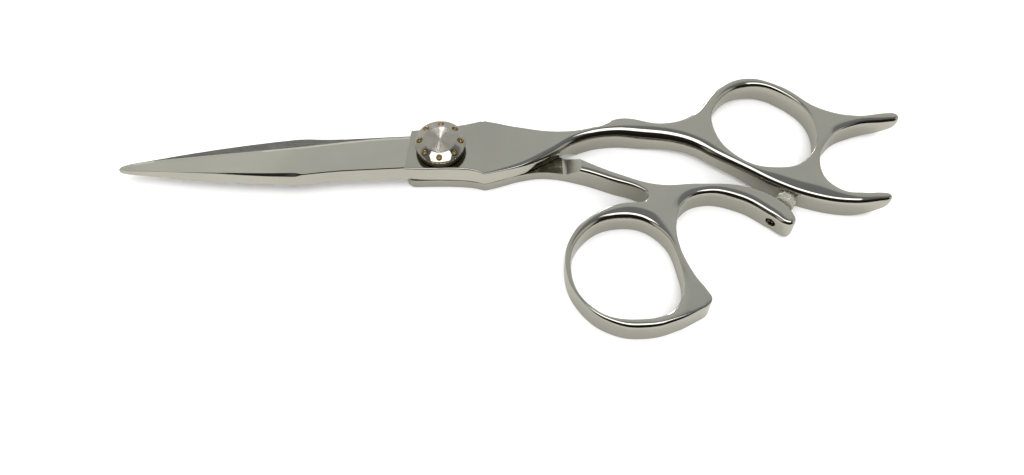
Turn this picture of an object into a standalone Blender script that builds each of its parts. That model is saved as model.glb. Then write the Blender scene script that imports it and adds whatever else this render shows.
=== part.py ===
"""Hair cutting shears: two crossed halves with finger rings, on a dial-adjusted pivot.

The pivot axis is the Z axis.  The shears lie closed on the plane z = 0, blades along -X,
handles along +X.  The finger half lies on top in the blades, the thumb half below it.
"""
import bpy
import bmesh
from math import atan2, cos, pi, radians, sin, tan
from mathutils import Matrix, Vector

MM = 0.001

# Driving sizes, in millimetres
HEIGHT = 5.8              # full height of both handles, and of the two halves at the pivot
RIDE_GAP = 0.3            # clearance between the two riding faces
EDGE_ROUND = 0.5          # rounding on the edges of the forged handles
CENTRE_Y = -0.25          # the closed blades mirror each other about this line
RAMP_START = 26.2         # where each half starts to thicken from half to full height
RAMP_LENGTH = 3.6
ARCH_START = 36.0         # the finger handle's underside arches clear of the table here
ARCH_END = 76.0
ARCH_RISE = 1.4

BLADE_TIP = -69.0
CUT_ANGLE = radians(30)   # slope of the narrow ground band along the cutting edge
ROOT_DEPTH = 0.6          # how far the unfinished blade reaches below its riding face
CUT_HALF_WIDTH = 12.0     # reach of the riding faces to either side of the pivot

BORE_R = 3.3              # pivot bore through both halves
SEAT_R = 4.6              # seat in the thumb half's back for the stud's head
SEAT_DEPTH = 1.5
WASHER_SEAT_R = 5.3
WASHER_SEAT_DEPTH = 0.6
FIT_GAP = 0.3             # room left around the pieces stacked on the stud

DIAL_R = 5.4
DIAL_BASE = HEIGHT + RIDE_GAP
DIAL_SIDE_R = 5.25        # the recessed side below the knurled band
DIAL_BAND_LOW = 7.45      # the knurled band around the dial
DIAL_BAND_TOP = 8.0
DIAL_FACE_R = 3.4         # the turned disc inside the sloping rim
DIAL_FACE_EDGE_Z = 8.8
DIAL_FACE_Z = 8.9
DIAL_POCKET_R = 3.4
DIAL_POCKET_Z = 7.7
DIAL_THREAD_R = 2.3
DIAL_THREAD_Z = 8.3
PIN_COUNT = 8
PIN_START = radians(86.5)
PIN_CIRCLE_R = 4.35
PIN_R = 0.52
PIN_CHAMFER = 0.08
PIN_PROUD = 0.08          # how far a pin stands out of the sloping rim
PIN_DIMPLE_R = 0.36
PIN_DIMPLE_DEPTH = 0.28
PIN_HOLE_R = 0.66
PIN_HOLE_DEPTH = 1.0
PIN_FLOOR_GAP = 0.15
BALL_R = 0.45
BALL_CIRCLE_R = 4.5
BALL_ANGLE = radians(22.5)
BALL_POCKET_R = 0.6
BALL_POCKET_DEPTH = 0.95

STUD_R = 2.0
STUD_CHAMFER = 0.2
CLICK_PLATE_THICK = 0.45
SPRING_THICK = 0.25
SPRING_RISE = 0.3         # how far the spring washer is dished

BUMPER_SEAT = (68.3, -20.35)      # where the bumper's hole leaves the arm's outer wall
BUMPER_ANGLE = radians(50)
BUMPER_Z = 2.9
BUMPER_R = 2.1
BUMPER_HOLE_R = 1.15
BUMPER_STEM = 3.0         # start of the bumper's stem, measured from the seat
BUMPER_FLANGE = 5.0       # underside of its head
BUMPER_TOP = 7.7
SCREW_TOP = 2.7
SCREW_LOW = 1.1
SCREW_SOCKET_R = 0.5
SCREW_SOCKET_DEPTH = 0.7

RIDE_LOW = (HEIGHT - RIDE_GAP) / 2       # riding face of the thumb half
RIDE_HIGH = (HEIGHT + RIDE_GAP) / 2      # riding face of the finger half

# Outlines of the two forged handles, as the points a smooth curve passes through.
# Each starts and ends with the two sharp corners of the shoulder by the blade.
FINGER_OUTLINE = [
    (-6.2, 5.2), (3.5, 5.5), (9.2, 6.5), (16.5, 4.6), (26.0, 2.95), (33.0, 3.65),
    (39.2, 5.75), (48.5, 4.0), (54.8, 5.7), (61.0, 12.05), (68.0, 15.1), (75.4, 12.6),
    (83.0, 6.3), (90.5, 3.95), (97.6, 4.45), (99.3, 4.3), (100.1, 3.2), (99.4, 2.2),
    (97.6, 1.92), (90.0, 1.4), (84.0, -1.6), (80.5, -9.3), (83.6, -14.7), (88.6, -15.8),
    (92.4, -15.85), (93.8, -16.15), (94.2, -17.0), (93.6, -17.7), (91.8, -17.97),
    (86.0, -18.15), (78.0, -16.3), (70.0, -12.5), (64.5, -8.9), (58.3, -4.85),
    (54.2, -1.95), (50.0, -0.3), (43.5, 0.9), (37.0, 1.75), (30.0, 0.55), (24.0, -2.7),
    (20.3, -4.5), (17.2, -5.75), (11.85, -7.1), (8.95, -7.75), (7.2, -6.95), (3.6, -6.35),
    (-4.5, -5.85), (-8.0, -5.5),
]
FINGER_RING = [
    (59.3, 3.0), (60.9, 8.7), (67.8, 12.9), (75.6, 10.4), (81.05, 1.2), (77.2, -7.0),
    (71.2, -8.35), (64.2, -6.0),
]
THUMB_OUTLINE = [
    (-7.0, -5.9), (3.5, -6.5), (7.2, -6.95), (9.0, -7.65), (11.8, -7.0), (17.0, -5.85),
    (22.0, -5.5), (29.4, -7.4), (36.0, -10.15), (42.0, -12.75), (43.1, -13.9),
    (42.5, -15.4), (40.6, -15.75), (37.0, -15.9), (31.4, -18.1), (26.5, -22.7),
    (24.5, -30.0), (27.0, -37.9), (33.0, -43.15), (39.8, -44.4), (46.0, -43.1),
    (50.4, -41.1), (52.5, -39.9), (53.15, -38.7), (52.6, -37.3), (50.1, -32.8),
    (48.0, -25.5), (48.3, -20.5), (49.9, -16.7), (54.5, -14.3), (62.0, -15.85),
    (68.6, -20.7), (70.6, -22.5), (71.9, -22.75), (72.9, -21.8), (72.5, -19.7),
    (70.2, -16.7), (63.5, -13.0), (54.0, -11.85), (45.5, -11.55), (37.5, -8.6),
    (30.3, -4.85), (25.1, -1.6), (18.8, 2.1), (9.2, 6.0), (2.0, 5.1), (-7.9, 5.1),
]
THUMB_RING = [
    (37.0, -19.2), (44.0, -22.0), (47.45, -30.0), (45.9, -39.7), (37.5, -42.25),
    (29.2, -39.2), (25.8, -30.5), (29.2, -22.3),
]

# The finger half's blade from tip to heel: x, half width to the cutting edge, half width
# to the back, height of the ridge, its place, height of the lower ridge, its place.
# Places are measured from the blades' centre line towards the back, heights from the
# riding face.
BLADE_STATIONS = [
    (-69.0, 0.42, 0.58, 0.57, 0.34, 0.56, 0.37),
    (-68.8, 0.64, 0.84, 0.63, 0.54, 0.62, 0.57),
    (-68.2, 0.86, 1.12, 0.70, 0.76, 0.68, 0.79),
    (-62.0, 1.80, 2.20, 1.16, 1.57, 1.13, 1.62),
    (-56.0, 2.22, 3.18, 1.60, 2.41, 1.58, 2.46),
    (-46.0, 2.86, 4.55, 2.12, 3.42, 1.97, 3.68),
    (-36.0, 3.46, 5.60, 2.33, 4.18, 1.96, 4.79),
    (-31.0, 3.78, 6.00, 2.35, 4.38, 1.96, 5.12),
    (-29.5, 3.88, 5.98, 2.44, 4.84, 2.30, 5.02),
    (-26.0, 4.18, 5.72, 2.46, 4.58, 2.32, 4.76),
    (-20.0, 4.70, 5.52, 2.55, 4.36, 2.41, 4.54),
    (-12.0, 5.12, 5.60, 2.65, 4.38, 2.51, 4.56),
    (-3.0, 5.20, 5.60, 2.72, 4.38, 2.58, 4.56),
]
CUT_BAND = 0.7            # width of the ground band along the cutting edge

for old in list(bpy.data.objects):
    bpy.data.objects.remove(old, do_unlink=True)


def new_collection(name):
    group = bpy.data.collections.new(name)
    bpy.context.scene.collection.children.link(group)
    return group


PARTS = new_collection("hair_cutting_shears")
CUTTERS = new_collection("cutters")


def make_material(name, colour, roughness, metallic, transmission=0.0):
    material = bpy.data.materials.new(name)
    material.use_nodes = True
    shader = material.node_tree.nodes["Principled BSDF"]
    shader.inputs["Base Color"].default_value = (*colour, 1.0)
    shader.inputs["Roughness"].default_value = roughness
    shader.inputs["Metallic"].default_value = metallic
    shader.inputs["Transmission Weight"].default_value = transmission
    return material


POLISHED = make_material("polished_steel", (0.62, 0.62, 0.60), 0.08, 1.0)
TURNED = make_material("turned_steel", (0.60, 0.58, 0.55), 0.25, 1.0)
BRASS = make_material("brass", (0.65, 0.46, 0.18), 0.25, 1.0)
SPRING = make_material("spring_steel", (0.45, 0.45, 0.46), 0.35, 1.0)
NYLON = make_material("nylon", (0.85, 0.84, 0.80), 0.5, 0.0)
SILICONE = make_material("clear_silicone", (0.80, 0.79, 0.70), 0.25, 0.0, 0.6)


def link_mesh(name, mesh, group, material=None):
    part = bpy.data.objects.new(name, mesh)
    group.objects.link(part)
    if material:
        mesh.materials.append(material)
    return part


def hide_cutter(part):
    part.hide_render = True
    part.display_type = 'WIRE'
    return part


def shade(part, angle=30):
    part.data.shade_smooth()
    part.data.set_sharp_from_angle(angle=radians(angle))


def curve_to_mesh(curve_object, name, group):
    """Turn a filled curve into a welded mesh object in the same place."""
    graph = bpy.context.evaluated_depsgraph_get()
    mesh = bpy.data.meshes.new_from_object(curve_object.evaluated_get(graph))
    work = bmesh.new()
    work.from_mesh(mesh)
    bmesh.ops.remove_doubles(work, verts=work.verts, dist=0.00001)
    bmesh.ops.recalc_face_normals(work, faces=work.faces)
    work.to_mesh(mesh)
    work.free()
    part = link_mesh(name, mesh, group)
    part.matrix_world = curve_object.matrix_world.copy()
    bpy.data.objects.remove(curve_object, do_unlink=True)
    return part


def add_smooth_spline(curve, points, corners=()):
    """Add a closed smooth spline through the points, sharp at the listed corners."""
    spline = curve.splines.new('BEZIER')
    spline.bezier_points.add(len(points) - 1)
    spline.use_cyclic_u = True
    for index, (knot, (x, y)) in enumerate(zip(spline.bezier_points, points)):
        knot.co = (x * MM, y * MM, 0.0)
        kind = 'VECTOR' if index in corners else 'AUTO'
        knot.handle_left_type = kind
        knot.handle_right_type = kind


def forged_plate(name, outline, ring, corners):
    """A handle's full outline with its finger ring, HEIGHT thick, with rounded edges."""
    curve = bpy.data.curves.new(name + "_curve", 'CURVE')
    curve.dimensions = '2D'
    curve.fill_mode = 'BOTH'
    curve.resolution_u = 5
    add_smooth_spline(curve, outline, corners)
    add_smooth_spline(curve, ring)
    curve.extrude = (HEIGHT / 2 - EDGE_ROUND) * MM
    curve.bevel_depth = EDGE_ROUND * MM
    curve.bevel_resolution = 1
    curve.offset = -EDGE_ROUND * MM
    plate = bpy.data.objects.new(name + "_curve", curve)
    PARTS.objects.link(plate)
    plate.location.z = HEIGHT / 2 * MM
    bpy.context.view_layer.update()
    return curve_to_mesh(plate, name, PARTS)


def arch_underside(part):
    """Raise the underside between the arch's ends, along a smooth hump."""
    for vertex in part.data.vertices:
        along = (vertex.co.x / MM - ARCH_START) / (ARCH_END - ARCH_START)
        if 0 < along < 1 and vertex.co.z < 0:
            vertex.co.z += ARCH_RISE * MM * sin(pi * along) ** 2


def boolean(part, operation, other):
    """Apply one Boolean to the part's mesh and drop the other object."""
    step = part.modifiers.new(operation.lower(), 'BOOLEAN')
    step.operation = operation
    step.object = other
    step.solver = 'EXACT'
    bpy.context.view_layer.update()
    graph = bpy.context.evaluated_depsgraph_get()
    mesh = bpy.data.meshes.new_from_object(part.evaluated_get(graph))
    part.modifiers.clear()
    part.data = mesh
    bpy.data.objects.remove(other, do_unlink=True)


def blade_section(station, flip):
    """Five corners of the blade's cross-section: edge, band, ridge, lower ridge, back."""
    x, edge, back, ridge_z, ridge_y, low_z, low_y = station
    band = min(CUT_BAND, (edge + ridge_y) * 0.3)
    band_z = band * tan(CUT_ANGLE)
    wall_run = (back - low_y) / low_z
    corners = [
        (edge + ROOT_DEPTH / tan(CUT_ANGLE), -ROOT_DEPTH),
        (edge - band, band_z),
        (-ridge_y, ridge_z),
        (-low_y, low_z),
        (-back - wall_run * ROOT_DEPTH, -ROOT_DEPTH),
    ]
    if flip:
        return [(x * MM, (CENTRE_Y - y) * MM, (RIDE_LOW - z) * MM) for y, z in corners]
    return [(x * MM, (CENTRE_Y + y) * MM, (RIDE_HIGH + z) * MM) for y, z in corners]


def blade_blank(name, flip):
    """The ground blade as a loft through its stations, closed at both ends."""
    work = bmesh.new()
    rows = []
    for station in BLADE_STATIONS:
        rows.append([work.verts.new(corner) for corner in blade_section(station, flip)])
    for near, far in zip(rows, rows[1:]):
        for side in range(len(near)):
            after = (side + 1) % len(near)
            work.faces.new((near[side], near[after], far[after], far[side]))
    work.faces.new(rows[0])
    work.faces.new(rows[-1])
    bmesh.ops.recalc_face_normals(work, faces=work.faces)
    mesh = bpy.data.meshes.new(name)
    work.to_mesh(mesh)
    work.free()
    return link_mesh(name, mesh, PARTS)


def riding_cutter(name, face_z, side):
    """Everything beyond a riding face, ending in a quarter-round ramp towards the handle.

    side is +1 to cut above the face and -1 to cut below it.
    """
    depth = HEIGHT
    reach = HEIGHT - RIDE_LOW
    radius = (RAMP_LENGTH ** 2 + reach ** 2) / (2 * reach)
    sweep = pi / 2 + atan2(reach - radius, RAMP_LENGTH)
    steps = 6
    profile = [(BLADE_TIP - 5, 0.0)]
    for step in range(steps + 1):
        angle = sweep * step / steps
        profile.append((RAMP_START + radius * sin(angle), radius * (1 - cos(angle))))
    profile.append((profile[-1][0], depth))
    profile.append((BLADE_TIP - 5, depth))
    curve = bpy.data.curves.new(name, 'CURVE')
    curve.dimensions = '2D'
    curve.fill_mode = 'BOTH'
    spline = curve.splines.new('POLY')
    spline.points.add(len(profile) - 1)
    spline.use_cyclic_u = True
    for knot, (x, z) in zip(spline.points, profile):
        knot.co = (x * MM, side * z * MM, 0.0, 1.0)
    curve.extrude = CUT_HALF_WIDTH * MM
    cutter = bpy.data.objects.new(name, curve)
    CUTTERS.objects.link(cutter)
    cutter.rotation_euler = (pi / 2, 0, 0)
    cutter.location.z = face_z * MM
    bpy.context.view_layer.update()
    return hide_cutter(curve_to_mesh(cutter, name, CUTTERS))


def rod(name, radius, start, end, group, segments=32):
    """A round rod between two points given in millimetres."""
    start = Vector(start) * MM
    end = Vector(end) * MM
    work = bmesh.new()
    bmesh.ops.create_cone(work, cap_ends=True, segments=segments, radius1=radius * MM,
                          radius2=radius * MM, depth=(end - start).length)
    mesh = bpy.data.meshes.new(name)
    work.to_mesh(mesh)
    work.free()
    part = link_mesh(name, mesh, group)
    turn = Vector((0, 0, 1)).rotation_difference(end - start)
    part.matrix_world = Matrix.Translation((start + end) / 2) @ turn.to_matrix().to_4x4()
    bpy.context.view_layer.update()
    return part


def drill(part, radius, start, end, segments=32):
    cutter = hide_cutter(rod("drill", radius, start, end, CUTTERS, segments))
    boolean(part, 'DIFFERENCE', cutter)


def turned(name, profile, material, segments=32, group=PARTS):
    """A closed turned body from (radius, z) points that run down its outer side."""
    mesh = bpy.data.meshes.new(name)
    points = [(radius * MM, 0.0, z * MM) for radius, z in profile]
    count = len(points)
    closed = profile[0][0] > 0
    edges = [(index, index + 1) for index in range(count - 1)]
    if closed:
        edges.append((count - 1, 0))
    mesh.from_pydata(points, edges, [])
    part = link_mesh(name, mesh, group, material)
    screw = part.modifiers.new("turn", 'SCREW')
    screw.steps = segments
    screw.render_steps = segments
    screw.use_merge_vertices = True
    screw.merge_threshold = 0.00001
    screw.use_smooth_shade = True
    return part


def apply_modifiers(part):
    bpy.context.view_layer.update()
    graph = bpy.context.evaluated_depsgraph_get()
    mesh = bpy.data.meshes.new_from_object(part.evaluated_get(graph))
    part.modifiers.clear()
    part.data = mesh


def along_bumper(distance):
    """A point on the bumper's axis, a distance inwards from the arm's outer wall."""
    x = BUMPER_SEAT[0] + distance * cos(BUMPER_ANGLE)
    y = BUMPER_SEAT[1] + distance * sin(BUMPER_ANGLE)
    return (x, y, BUMPER_Z)


def finger_half():
    plate = forged_plate("finger_half", FINGER_OUTLINE, FINGER_RING,
                         (0, len(FINGER_OUTLINE) - 1))
    arch_underside(plate)
    boolean(plate, 'UNION', blade_blank("finger_blank", False))
    boolean(plate, 'DIFFERENCE', riding_cutter("finger_ride", RIDE_HIGH, -1))
    drill(plate, BORE_R, (0, 0, -1), (0, 0, HEIGHT + 1))
    plate.data.materials.clear()
    plate.data.materials.append(POLISHED)
    shade(plate)


def thumb_half():
    plate = forged_plate("thumb_half", THUMB_OUTLINE, THUMB_RING,
                         (0, len(THUMB_OUTLINE) - 1))
    boolean(plate, 'UNION', blade_blank("thumb_blank", True))
    boolean(plate, 'DIFFERENCE', riding_cutter("thumb_ride", RIDE_LOW, 1))
    drill(plate, BORE_R, (0, 0, -1), (0, 0, HEIGHT))
    drill(plate, SEAT_R, (0, 0, -1), (0, 0, SEAT_DEPTH))
    drill(plate, WASHER_SEAT_R, (0, 0, RIDE_LOW - WASHER_SEAT_DEPTH), (0, 0, HEIGHT))
    drill(plate, BUMPER_HOLE_R, along_bumper(-4), along_bumper(6), 20)
    plate.data.materials.clear()
    plate.data.materials.append(POLISHED)
    shade(plate)


def tension_dial():
    undercut = DIAL_R - DIAL_SIDE_R
    profile = [
        (0.0, DIAL_FACE_Z), (DIAL_FACE_R, DIAL_FACE_EDGE_Z), (DIAL_R, DIAL_BAND_TOP),
        (DIAL_R, DIAL_BAND_LOW), (DIAL_SIDE_R, DIAL_BAND_LOW - undercut),
        (DIAL_SIDE_R, DIAL_BASE), (DIAL_POCKET_R, DIAL_BASE),
        (DIAL_POCKET_R, DIAL_POCKET_Z), (DIAL_THREAD_R, DIAL_POCKET_Z),
        (DIAL_THREAD_R, DIAL_THREAD_Z), (0.0, DIAL_THREAD_Z),
    ]
    dial = turned("tension_dial", profile, TURNED, 48)
    apply_modifiers(dial)
    for index in range(PIN_COUNT):
        x, y = pin_place(index)
        drill(dial, PIN_HOLE_R, (x, y, pin_floor()), (x, y, DIAL_FACE_Z + 1), 16)
    pocket_top = DIAL_BASE + BALL_POCKET_DEPTH
    for x, y in ball_places():
        drill(dial, BALL_POCKET_R, (x, y, DIAL_BASE - 1), (x, y, pocket_top), 16)
    dial.data.materials.clear()
    dial.data.materials.append(TURNED)
    shade(dial)


def pin_place(index):
    angle = PIN_START + 2 * pi * index / PIN_COUNT
    return (PIN_CIRCLE_R * cos(angle), PIN_CIRCLE_R * sin(angle))


def pin_floor():
    """Height of the pin holes' floor, below the dial's sloping rim."""
    slope = (DIAL_FACE_EDGE_Z - DIAL_BAND_TOP) / (DIAL_R - DIAL_FACE_R)
    rim = DIAL_BAND_TOP + slope * (DIAL_R - PIN_CIRCLE_R)
    return rim - PIN_HOLE_DEPTH


def ball_places():
    for angle in (BALL_ANGLE, BALL_ANGLE + pi):
        yield (BALL_CIRCLE_R * cos(angle), BALL_CIRCLE_R * sin(angle))


def dial_pins():
    """Brass pins with a dimple in the top, standing in the dial's sloping rim."""
    floor = pin_floor() + PIN_FLOOR_GAP
    top = pin_floor() + PIN_HOLE_DEPTH + PIN_PROUD
    profile = [
        (0.0, top - PIN_DIMPLE_DEPTH), (PIN_DIMPLE_R, top), (PIN_R - PIN_CHAMFER, top),
        (PIN_R, top - PIN_CHAMFER), (PIN_R, floor), (0.0, floor),
    ]
    for index in range(PIN_COUNT):
        x, y = pin_place(index)
        pin = turned("dial_pin_%d" % (index + 1), profile, BRASS, 16)
        pin.location = (x * MM, y * MM, 0.0)


def detent_balls():
    for index, (x, y) in enumerate(ball_places()):
        name = "detent_ball_%d" % (index + 1)
        work = bmesh.new()
        bmesh.ops.create_uvsphere(work, u_segments=16, v_segments=10, radius=BALL_R * MM)
        mesh = bpy.data.meshes.new(name)
        work.to_mesh(mesh)
        work.free()
        ball = link_mesh(name, mesh, PARTS, SPRING)
        ball.location = (x * MM, y * MM, (DIAL_BASE + BALL_R) * MM)
        mesh.shade_smooth()


def pivot_stud():
    head_top = SEAT_DEPTH - FIT_GAP
    head_r = SEAT_R - FIT_GAP
    top = DIAL_THREAD_Z - FIT_GAP
    profile = [
        (0.0, top), (STUD_R - STUD_CHAMFER, top), (STUD_R, top - STUD_CHAMFER),
        (STUD_R, head_top), (head_r, head_top), (head_r, STUD_CHAMFER),
        (head_r - STUD_CHAMFER, 0.0), (0.0, 0.0),
    ]
    turned("pivot_stud", profile, TURNED)


def tube(name, outer, inner, low, high, material):
    turned(name, [(outer, high), (outer, low), (inner, low), (inner, high)], material)


def pivot_stack():
    """Bushing in the bore, washer between the halves, click plate and spring in the dial."""
    bore = STUD_R + FIT_GAP
    tube("pivot_bushing", BORE_R - FIT_GAP, bore, SEAT_DEPTH, HEIGHT, BRASS)
    floor = RIDE_LOW - WASHER_SEAT_DEPTH + FIT_GAP
    tube("ride_washer", WASHER_SEAT_R - FIT_GAP, BORE_R + FIT_GAP, floor, RIDE_LOW, NYLON)
    outer = DIAL_POCKET_R - FIT_GAP
    plate_top = DIAL_BASE + CLICK_PLATE_THICK
    tube("click_plate", outer, bore, DIAL_BASE, plate_top, SPRING)
    low = plate_top + FIT_GAP
    profile = [
        (outer, low + SPRING_THICK), (outer, low), (bore, low + SPRING_RISE),
        (bore, low + SPRING_RISE + SPRING_THICK),
    ]
    turned("spring_washer", profile, SPRING)


def place_on_bumper_axis(part):
    """Lay a body turned about Z along the bumper's axis, its z = 0 at the arm's wall."""
    direction = Vector((cos(BUMPER_ANGLE), sin(BUMPER_ANGLE), 0))
    turn = Vector((0, 0, 1)).rotation_difference(direction)
    place = Matrix.Translation(Vector(along_bumper(0)) * MM)
    part.matrix_world = place @ turn.to_matrix().to_4x4()


def bumper():
    """A soft domed stop with a stem that plugs into the hole in the arm."""
    stem_r = BUMPER_HOLE_R - 0.2
    lip = 0.15
    profile = [
        (0.0, BUMPER_TOP), (BUMPER_R * 0.5, BUMPER_TOP - 0.1),
        (BUMPER_R * 0.85, BUMPER_TOP - 0.5), (BUMPER_R, BUMPER_TOP - 1.1),
        (BUMPER_R, BUMPER_FLANGE + lip), (BUMPER_R - lip, BUMPER_FLANGE),
        (stem_r, BUMPER_FLANGE), (stem_r, BUMPER_STEM), (0.0, BUMPER_STEM),
    ]
    place_on_bumper_axis(turned("bumper", profile, SILICONE, 24))


def bumper_screw():
    """A socket set screw in the same hole, from the arm's outer wall, behind the stem."""
    radius = BUMPER_HOLE_R - 0.2
    socket_floor = SCREW_LOW + SCREW_SOCKET_DEPTH
    profile = [
        (0.0, SCREW_TOP), (radius, SCREW_TOP), (radius, SCREW_LOW),
        (SCREW_SOCKET_R, SCREW_LOW), (SCREW_SOCKET_R, socket_floor), (0.0, socket_floor),
    ]
    place_on_bumper_axis(turned("bumper_screw", profile, SPRING, 20))


finger_half()
thumb_half()
tension_dial()
dial_pins()
detent_balls()
pivot_stud()
pivot_stack()
bumper()
bumper_screw()
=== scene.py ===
"""The looks of the hair cutting shears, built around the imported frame.

Lengths in the tables are in millimetres and in the frame's own axes: the pivot axis is Z,
the blades point along -X, and the closed shears lie on the plane z = 0.
"""
from math import atan2, ceil, cos, pi, radians, sin, tan

import bmesh
import bpy
import numpy as np
from mathutils import Matrix, Vector


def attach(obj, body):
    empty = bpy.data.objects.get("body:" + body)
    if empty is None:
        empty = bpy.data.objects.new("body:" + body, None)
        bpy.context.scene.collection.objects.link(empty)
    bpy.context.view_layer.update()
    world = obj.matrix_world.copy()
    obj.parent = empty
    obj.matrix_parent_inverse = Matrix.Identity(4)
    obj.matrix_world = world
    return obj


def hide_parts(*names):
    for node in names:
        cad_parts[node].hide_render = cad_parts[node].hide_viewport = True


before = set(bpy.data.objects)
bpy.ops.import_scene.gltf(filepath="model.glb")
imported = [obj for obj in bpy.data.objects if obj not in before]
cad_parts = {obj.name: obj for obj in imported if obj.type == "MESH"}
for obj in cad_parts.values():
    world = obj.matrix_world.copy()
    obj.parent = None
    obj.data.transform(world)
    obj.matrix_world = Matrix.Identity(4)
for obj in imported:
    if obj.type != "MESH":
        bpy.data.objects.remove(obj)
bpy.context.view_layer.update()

MM = 0.001

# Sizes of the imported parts, and finer ones that only the looks have
HEIGHT = 5.8
RIDE_GAP = 0.3
CENTRE_Y = -0.25
RAMP_START = 25.8
RAMP_TILT = radians(43)
RAMP_HOLLOW = 1.6         # radius at the foot of the ramp
ARCH_START = 36.0
ARCH_END = 76.0
ARCH_RISE = 1.4
BLADE_TIP = -69.0
CUT_ANGLE = radians(30)
CUT_BAND = 0.7
CUT_SHARE = 0.3           # of the blade's width that the cutting bevel takes at most
ROOT_DEPTH = 0.6
CUT_HALF_WIDTH = 12.0
BORE_R = 3.3
SEAT_R = 4.6              # the stud's head lies in this one, underneath
SEAT_DEPTH = 1.5
WASHER_SEAT_R = 5.3       # the washer between the halves lies in this recess
WASHER_SEAT_DEPTH = 0.6
BUMPER_SEAT = (68.3, -20.35)
BUMPER_ANGLE = radians(50)
BUMPER_Z = 2.9
BUMPER_HOLE_R = 1.15
BUMPER_HOLE_ENDS = (-4.0, 6.0)    # along the bumper's axis, both outside the metal
CLEAR = 1.0               # how far a cutter or drill reaches out of the metal
CUTTER_MARGIN = 5.0       # beyond the blades' tips
DIAL_BASE = HEIGHT + RIDE_GAP
DIAL_R = 5.4
DIAL_SIDE_R = 5.25
DIAL_BAND_LOW = 7.45
DIAL_BAND_TOP = 8.0
DIAL_FACE_R = 3.4
DIAL_FACE_EDGE_Z = 8.8
DIAL_FACE_Z = 9.0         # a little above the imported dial, for the cone's slope
DIAL_EDGE = 0.07          # bevels of the band and of the base
DIAL_STEP = 0.1           # the face ends in a small step down to the rim
DIAL_STEP_DROP = 0.03
DIAL_RIM_MARGIN = 0.16    # the rim rounds over to the band in the last stretch
DIAL_RIM_EDGE = (0.04, 0.02)
DIAL_POCKET_R = 3.4
DIAL_POCKET_Z = 7.7
DIAL_THREAD_R = 2.3
DIAL_THREAD_Z = 8.3
KNURL_TEETH = 84
KNURL_DEPTH = 0.09
PIN_COUNT = 8
PIN_START = radians(86.5)
PIN_CIRCLE_R = 4.35
PIN_R = 0.52
PIN_CHAMFER = 0.08
PIN_PROUD = 0.08
PIN_DIMPLE_R = 0.36
PIN_DIMPLE_DEPTH = 0.28
PIN_HOLE_R = 0.66
PIN_HOLE_DEPTH = 1.0
PIN_FLOOR_GAP = 0.15
BUMPER_R = 2.1
BUMPER_STEM = 3.0         # along the bumper's axis, from its seat
BUMPER_FLANGE = 5.0
BUMPER_TOP = 7.7
BUMPER_DOME = 1.15        # radius that the head's end is rounded with
BUMPER_CROWN = 0.02
BUMPER_STEM_GAP = 0.2
BUMPER_RING = 0.35        # from the dome down to the moulding ring
BUMPER_RING_DEPTH = 0.12
BUMPER_ROUND = 0.25

RIDE_LOW = (HEIGHT - RIDE_GAP) / 2
RIDE_HIGH = (HEIGHT + RIDE_GAP) / 2

# Outlines of the forged handles: x, y, width and radius of the rounding along the upper
# edge, and how far the wall leans in from the riding face up to the top. A row that ends in
# CRISP is a corner with straight edges.
CRISP = True
FINGER_OUTLINE = [
    (-6.2, 5.2, 0.15, 0.10, 0.5), (3.5, 5.5, 0.2, 0.1, 0), (7.6, 6.15, 0.15, 0.06, 0),
    (9.2, 6.55, 0.1, 0.05, 0, CRISP), (11.2, 6.05, 0.15, 0.06, 0),
    (16.5, 4.6, 0.3, 0.2, 0), (26.0, 2.95, 0.35, 0.2, 0), (33.0, 3.65, 0.35, 0.2, 0),
    (39.2, 5.75, 0.5, 0.3, 0), (48.5, 4.0, 0.6, 0.3, 0), (54.8, 5.7, 0.6, 0.3, 0),
    (61.0, 12.05, 0.5, 0.3, 0), (68.0, 15.1, 0.4, 0.3, 0), (75.4, 12.6, 0.35, 0.25, 0),
    (83.0, 6.3, 0.6, 0.3, 0), (90.5, 3.95, 0.7, 0.4, 0), (97.6, 4.45, 0.85, 0.7, 0),
    (99.3, 4.3, 0.8, 0.7, 0), (100.1, 3.2, 0.8, 0.7, 0), (99.4, 2.2, 0.85, 0.8, 0),
    (97.6, 1.92, 1.1, 1.05, 0), (90.0, 1.4, 1.35, 1.0, 0), (84.0, -1.6, 2.1, 0.4, 0),
    (80.5, -9.3, 2.3, 0.25, 0), (83.6, -14.7, 0.5, 0.2, 0), (88.6, -15.8, 0.5, 0.3, 0),
    (92.4, -15.85, 0.65, 0.55, 0), (93.8, -16.15, 0.65, 0.6, 0),
    (94.2, -17.0, 0.65, 0.6, 0), (93.6, -17.7, 0.7, 0.65, 0), (91.8, -17.97, 0.95, 0.9, 0),
    (86.0, -18.15, 1.5, 1.1, 0), (78.0, -16.3, 3.2, 1.2, 0), (70.0, -12.5, 2.6, 1.3, 0),
    (64.5, -8.9, 1.8, 1.5, 0), (58.3, -4.85, 2.3, 2.0, 0), (54.2, -1.95, 2.5, 2.2, 0),
    (50.0, -0.3, 2.7, 2.3, 0), (43.5, 0.9, 2.8, 2.4, 0), (37.0, 1.75, 1.85, 2.0, 0),
    (30.0, 0.55, 1.7, 1.9, 0), (24.0, -2.7, 1.7, 1.5, 0), (20.3, -4.55, 1.5, 0.9, 0.1),
    (17.2, -5.9, 1.1, 0.3, 0.4),
    (11.85, -7.4, 0.5, 0.12, 0.7), (8.95, -8.1, 0.3, 0.15, 0.75, CRISP),
    (7.2, -7.4, 0.3, 0.2, 1.2), (3.6, -6.8, 0.3, 0.2, 1.2), (-4.5, -6.2, 0.3, 0.2, 1.0),
    (-8.0, -5.7, 0.3, 0.2, 0.7),
]
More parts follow.
